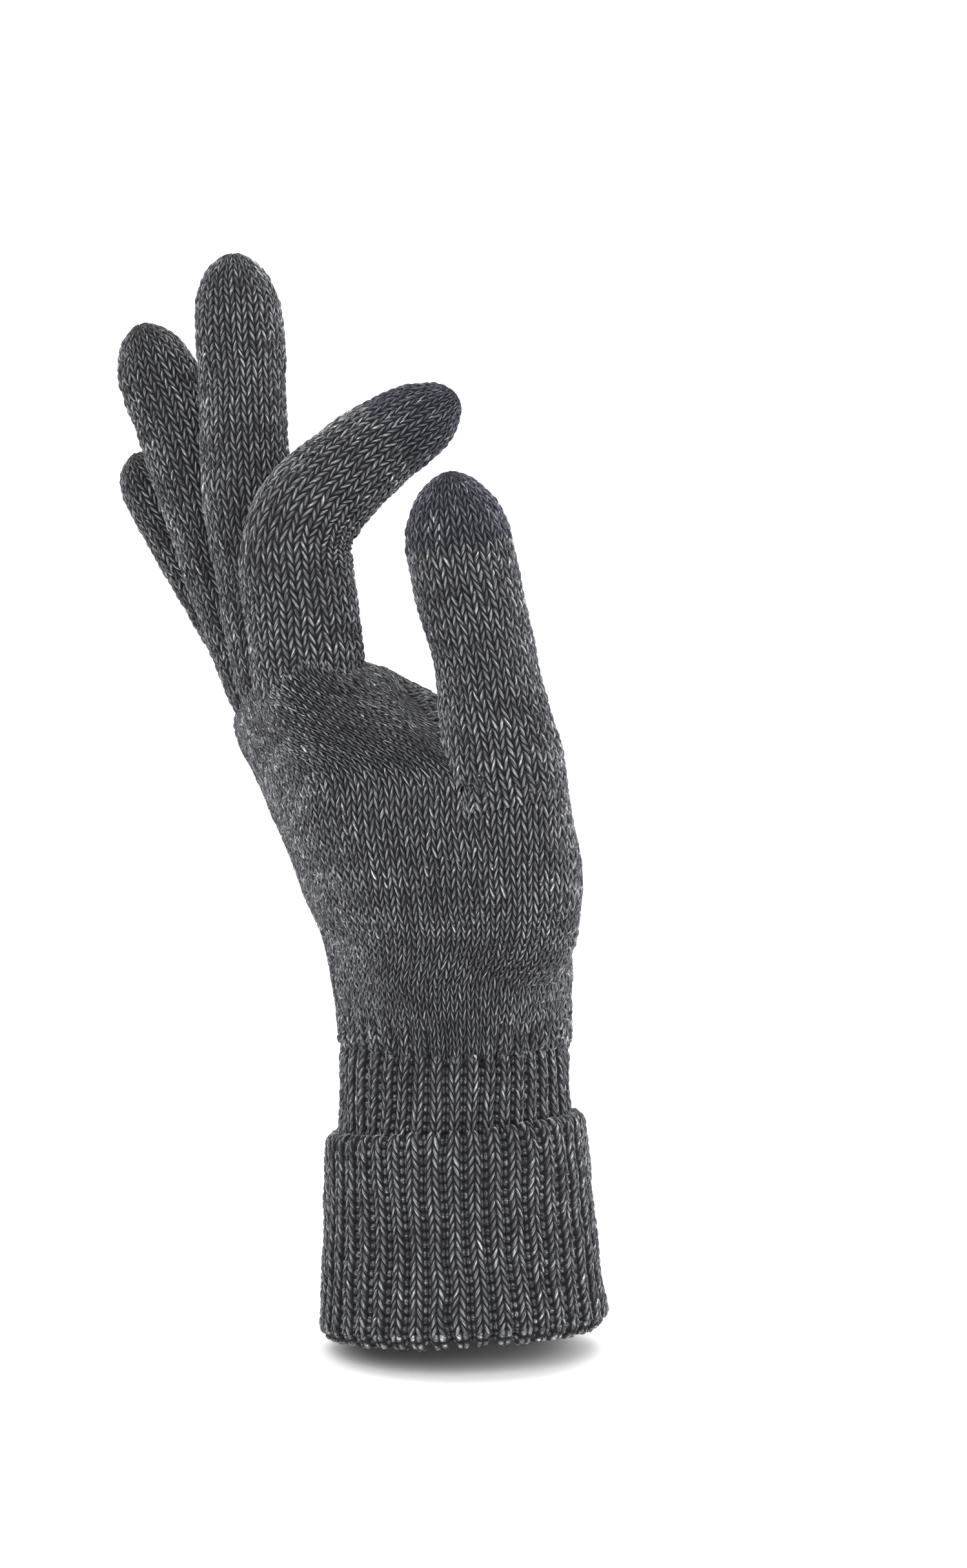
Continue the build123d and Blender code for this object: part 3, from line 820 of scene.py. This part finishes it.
def lean_cuff(point):
    """Slant the rims, palm side and thumb side higher, and let the cuff lean a little."""
    z = point[..., 2]
    out = point.copy()
    out[..., 2] += (0.03 + 0.0009 * z) * point[..., 0] - (0.105 - 0.0008 * z) * point[..., 1]
    out[..., 0] += 0.6 - 0.045 * z
    return out


def densify(points, step=0.4):
    """Points along a broken line at an even spacing."""
    pts = np.array(points, float)
    d = np.concatenate([[0], np.cumsum(np.hypot(*np.diff(pts, axis=0).T))])
    s = np.arange(0, d[-1], step)
    return np.stack([np.interp(s, d, pts[:, 0]), np.interp(s, d, pts[:, 1])], -1)


def make_rib(name, profile, seed, lean_it, depth=1.55, centre_x=0.0, fuzz=900, slant=1.3):
    """Ribbed knitting turned round the wrist along a profile of (radius, height)."""
    prof = densify(profile)
    total = np.hypot(*np.diff(prof, axis=0).T).sum()
    courses = int(round(total / RIB_COURSE))
    pitch = total / courses
    x, a, valley, rows, v, u = rib_coordinates(courses, slant)
    length = np.clip(v * pitch, 0, total)
    shape = length.shape
    angle = 2 * math.pi * x / RIBS
    ring_x = np.broadcast_to(np.cos(angle) * 30, shape)
    ring_y = np.broadcast_to(np.sin(angle) * 30, shape)
    around = np.stack([ring_x, ring_y, length], -1)
    point, normal = ring_surface(prof, length, x)
    angle2 = angle + 2 * math.pi / RIBS * rib_wander(np.broadcast_to(angle, shape), point[..., 2])
    radius = np.hypot(point[..., 0], point[..., 1])
    radial = np.stack([np.cos(angle2), np.sin(angle2)], -1)
    n_r = np.hypot(normal[..., 0], normal[..., 1])
    n_r = n_r * np.sign(normal[..., 0] * point[..., 0] + normal[..., 1] * point[..., 1])
    point = np.dstack([radial * radius[..., None], point[..., 2]])
    normal = np.dstack([radial * n_r[..., None], normal[..., 2]])
    height = rib_height(rows, a, valley, x, seed, depth)
    lumps = 0.55 * noise(around, 14.0, seed + 3) + 0.25 * noise(around, 5.0, seed + 4)
    final = point + normal * (height + lumps)[..., None]
    if lean_it:
        final = lean_cuff(final)
    final[..., 0] += centre_x
    normals = grid_normals(final)
    mesher = Mesher()
    mesher.grid(final, normals, u, rows, RIBS * 2)
    if fuzz:
        mesher.fuzz(final, normals, fuzz, seed)
    return mesher.build(name, [RIB_WOOL, FUZZ])


def make_cuff():
    """Folded cuff in three pieces: turn-up with its cast-off edge, fold, inner layer."""
    # turn-up: up the outside from the fold, over the cast-off edge and a little way down behind it
    outer = [(33.3, 2.4), (33.0, 6.0), (31.9, 14.0), (31.2, 26.0), (30.6, 38.0), (30.0, 46.0)]
    edge = [(29.7, 47.6), (29.0, 48.6), (28.0, 48.4), (27.5, 47.2), (27.5, 43.5)]
    turn_up = make_rib("cuff_turn_up_knit", outer + edge, 41, True, fuzz=2200, slant=-1.3)
    # fold: round the bottom, from the inner layer to the outer one
    mid, bend = 30.4, 2.75
    turn = np.linspace(-math.pi, 0, 9)
    arc = [(mid + bend * math.cos(t), 3.0 + bend * math.sin(t)) for t in turn]
    fold = [(mid - bend, 5.0)] + arc + [(33.2, 4.0)]
    fold_piece = make_rib("cuff_fold_knit", fold, 42, True, fuzz=500, slant=0.0)
    # inner layer: ribs seen from inside the opening
    inner = [(25.9, 48.0), (26.4, 34.0), (27.0, 20.0), (27.4, 9.0), (27.6, 4.0)]
    inside = make_rib("cuff_inner_knit", inner, 43, True, depth=1.2, fuzz=0)
    return turn_up, fold_piece, inside


def make_wrist():
    """Ribbed wrist above the turn-up, tucked under the first rows of the hand."""
    profile = [(26.4, 40.0), (26.4, 46.0), (26.3, 56.0), (26.3, 64.0), (26.0, 67.5), (24.6, 70.5)]
    return make_rib("wrist_rib_knit", profile, 51, False, depth=1.5, centre_x=-1.7, fuzz=1100)


# ---------------------------------------------------------------- assemble

def place_finger(name, number):
    """One finger in pieces along its length; the conductive tip and gather ride on its end."""
    spec = FINGERS[name]
    lengths = spec["lengths"]
    reach = (9.0, 6.5) if name == "little" else (12.5 if name == "index" else 10.0, 7.5)
    creases = [(lengths[0] - 2.2, 0.55, 1.2), (lengths[0] + 2.0, 0.5, 1.2),
               (lengths[0] + lengths[1], 0.35, 1.1)]
    if name == "index":
        creases = [(lengths[0] - 3.4, 0.5, 1.5), (lengths[0] + 0.6, 0.6, 1.6), (lengths[0] + 4.6, 0.5, 1.5)]
    knit = make_finger(spec, reach, -12.0, 60 + number, creases)
    surf = knit["surf"]
    s1, s2, s3 = surf["stations"][1:]
    first_cut = 0.5 * (9.0 + s1 - 11.5)
    second_cut = s1 + 0.5 * (11.0 + lengths[1] - 8.0)
    lower = finger_piece(knit, name + "_root_knit", None, first_cut, [WOOL, FUZZ], number * 7 + 1)
    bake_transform(lower)
    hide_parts(name + "_root_sleeve", name + "_proximal")
    middle = finger_piece(knit, name + "_middle_knit", first_cut, second_cut, [WOOL, FUZZ], number * 7 + 2)
    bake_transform(middle)
    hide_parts(name + "_middle_sleeve", name + "_middle")
    tip_from = s3 - CONDUCTIVE[name] if name in CONDUCTIVE else None
    upper = finger_piece(knit, name + "_end_knit", second_cut, tip_from, [WOOL, FUZZ], number * 7 + 3)
    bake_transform(upper)
    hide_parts(name + "_end_sleeve", name + "_distal")
    if tip_from is not None:
        navy = [NAVY, FUZZ_NAVY]
        tip = finger_piece(knit, name + "_conductive_knit", tip_from, None, navy, number * 7 + 4, 0.7)
        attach(tip, name + "_end")
        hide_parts(name + "_conductive_tip")
    end = knot(name + "_gather", surf, [NAVY, FUZZ_NAVY] if tip_from is not None else [WOOL, FUZZ], number + 1)
    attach(end, name + "_end")
    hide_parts(name + "_tip_gather")


def place_thumb():
    """The thumb, in the same way; returns its forms for the seam at its root."""
    knit = make_finger(THUMB, (9.0,), -12.0, 71)
    surf = knit["surf"]
    s1, s2 = surf["stations"][1:]
    cut = 15.0
    lower = finger_piece(knit, "thumb_root_knit", None, cut, [WOOL, FUZZ], 101)
    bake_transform(lower)
    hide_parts("thumb_root_sleeve", "thumb_proximal")
    upper = finger_piece(knit, "thumb_end_knit", cut, s2 - CONDUCTIVE["thumb"], [WOOL, FUZZ], 102)
    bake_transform(upper)
    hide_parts("thumb_joint_sleeve", "thumb_distal")
    navy = [NAVY, FUZZ_NAVY]
    tip = finger_piece(knit, "thumb_conductive_knit", s2 - CONDUCTIVE["thumb"], None, navy, 103, 0.7)
    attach(tip, "thumb_end")
    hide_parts("thumb_conductive_tip")
    end = knot("thumb_gather", surf, [NAVY, FUZZ_NAVY], 9)
    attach(end, "thumb_end")
    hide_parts("thumb_tip_gather")
    return surf


def seam_ring(surf):
    """Picked-up stitches at the crotch of the thumb: a chain of small loops round the back of its root."""
    loops = 22
    turns = np.linspace(0, 1, loops * 10 + 1)
    theta = math.radians(60) + turns * math.radians(160)
    phase = turns * 2 * math.pi * loops
    sigma = np.interp(-5.6 + 1.2 * np.cos(theta - 1.2), surf["ps"], surf["sigma"]) + 0.5 * np.sin(phase)
    point, normal, _ = finger_points(surf, sigma, theta)
    ends = np.minimum(1, np.minimum(turns, 1 - turns) * 12)
    path = point + normal * (0.2 + 0.55 * ends * (0.6 + 0.4 * np.cos(phase)))[:, None]
    tangent = unit(np.gradient(path, axis=0))
    side = unit(np.cross(tangent, normal))
    ring = np.arange(8) * 2 * math.pi / 8
    thick = 0.12 + 0.36 * ends
    grid = path[:, None] + thick[:, None, None] * (
        np.cos(ring)[None, :, None] * side[:, None] + np.sin(ring)[None, :, None] * normal[:, None])
    mesher = Mesher()
    mesher.grid(grid, grid - path[:, None], ring / 6.28, turns * loops, 1.0)
    # two small knots where the yarn was joined, at the bottom of the fold
    for k, (theta0, s0) in enumerate(((math.radians(224), -6.0), (math.radians(236), -4.6))):
        spot, out, _ = finger_points(surf, np.interp([s0], surf["ps"], surf["sigma"]), np.array([theta0]))
        lat = np.linspace(-math.pi / 2, math.pi / 2, 9)[:, None]
        lon = np.linspace(0, 2 * math.pi, 13)[None, :-1]
        ball = np.stack([np.cos(lat) * np.cos(lon), np.cos(lat) * np.sin(lon), np.sin(lat) + 0 * lon], -1)
        lump = 1 + 0.22 * np.sin(3 * lon + k) * np.cos(lat)
        shape = spot[0] + out[0] * 0.5 + ball * lump[..., None] * np.array([0.95, 0.8, 0.75])
        mesher.grid(shape, ball + 0 * shape, lon[0] / 6.28 * 2, np.linspace(0, 2, 9), 2.0)
        mesher.fuzz(shape, ball + 0 * shape, 20, 300 + k)
    return mesher.build("thumb_seam", [WOOL, FUZZ])


hand = make_hand()
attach(hand, "hand")
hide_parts("hand_tube", "finger_web", "thumb_gusset")
turn_up, fold_piece, inside = make_cuff()
wrist = make_wrist()
for piece, nodes in ((turn_up, ("cuff_turn_up", "cuff_cast_off_edge")), (fold_piece, ("cuff_fold",)),
                     (inside, ("cuff_inner_rib",)), (wrist, ("wrist_rib",))):
    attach(piece, "hand")
    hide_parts(*nodes)
for number, name in enumerate(FINGERS):
    place_finger(name, number)
thumb_surf = place_thumb()
seam = seam_ring(thumb_surf)
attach(seam, "hand")
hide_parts("thumb_crotch_seam")


# ---------------------------------------------------------------- stage, light, camera

def stage():
    """Pale floor that sweeps up into a backdrop."""
    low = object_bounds()[0][2] - 0.0003
    rows = []
    for t in np.linspace(0, 1, 40):
        # flat floor that sweeps up into a backdrop far behind
        if t < 0.5:
            rows.append((-2.0 + t * 2 * 4.2, 0.0))
        else:
            bend = (t - 0.5) * 2 * math.pi / 2
            rows.append((2.2 + 1.2 * math.sin(bend), 1.2 * (1 - math.cos(bend))))
    rows.append((3.4, 3.5))
    verts = [(sx * 4.0, y, low + z) for y, z in rows for sx in (-1, 1)]
    faces = [(2 * i, 2 * i + 1, 2 * i + 3, 2 * i + 2) for i in range(len(rows) - 1)]
    mesh = bpy.data.meshes.new("backdrop")
    mesh.from_pydata(verts, [], faces)
    for polygon in mesh.polygons:
        polygon.use_smooth = True
    obj = bpy.data.objects.new("backdrop", mesh)
    bpy.context.collection.objects.link(obj)
    mat = bpy.data.materials.new("pale_floor")
    mat.use_nodes = True
    bsdf = mat.node_tree.nodes["Principled BSDF"]
    bsdf.inputs["Base Color"].default_value = (0.93, 0.93, 0.932, 1)
    bsdf.inputs["Roughness"].default_value = 0.9
    mesh.materials.append(mat)
    obj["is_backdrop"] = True


def area_light(name, place, target, size, power):
    data = bpy.data.lights.new(name, "AREA")
    data.shape = "RECTANGLE"
    data.size, data.size_y = size
    data.energy = power
    obj = bpy.data.objects.new(name, data)
    bpy.context.collection.objects.link(obj)
    obj.location = place
    obj.rotation_euler = (Vector(target) - Vector(place)).to_track_quat("-Z", "Y").to_euler()


stage()
AIM = (0.0, 0.0, 0.13)
area_light("key", (-0.30, -1.25, 0.85), AIM, (0.9, 0.9), 17)
area_light("fill", (1.0, -0.8, 0.5), AIM, (0.9, 0.9), 8)
area_light("top", (0.0, 0.2, 1.5), AIM, (1.4, 1.4), 14)
area_light("sweep", (0.0, 0.9, 2.0), (0.0, 3.3, 0.9), (2.5, 1.0), 60)
area_light("back_left", (-0.9, 0.9, 0.7), AIM, (0.8, 0.8), 3)
area_light("back_right", (0.9, 0.9, 0.7), AIM, (0.8, 0.8), 4)
world = bpy.data.worlds.new("studio")
bpy.context.scene.world = world
world.use_nodes = True
world.node_tree.nodes["Background"].inputs[0].default_value = (1, 1, 1, 1)
world.node_tree.nodes["Background"].inputs[1].default_value = 0.85

CAMERA_TURN = math.radians(10.0)
DISTANCE = 0.600
FRAME_HEIGHT = 0.3738
camera_data = bpy.data.cameras.new("camera")
camera = bpy.data.objects.new("camera", camera_data)
bpy.context.collection.objects.link(camera)
forward = Vector((math.sin(CAMERA_TURN), math.cos(CAMERA_TURN), 0))
right = Vector((math.cos(CAMERA_TURN), -math.sin(CAMERA_TURN), 0))
target = right * 0.0053 + Vector((0, 0, 0.1299))
camera.location = target - forward * DISTANCE
camera.rotation_euler = forward.to_track_quat("-Z", "Y").to_euler()
camera_data.sensor_fit = "VERTICAL"
camera_data.sensor_height = 36.0
camera_data.lens = 36.0 * DISTANCE / FRAME_HEIGHT
bpy.context.scene.camera = camera
bpy.context.scene.view_settings.view_transform = "Standard"
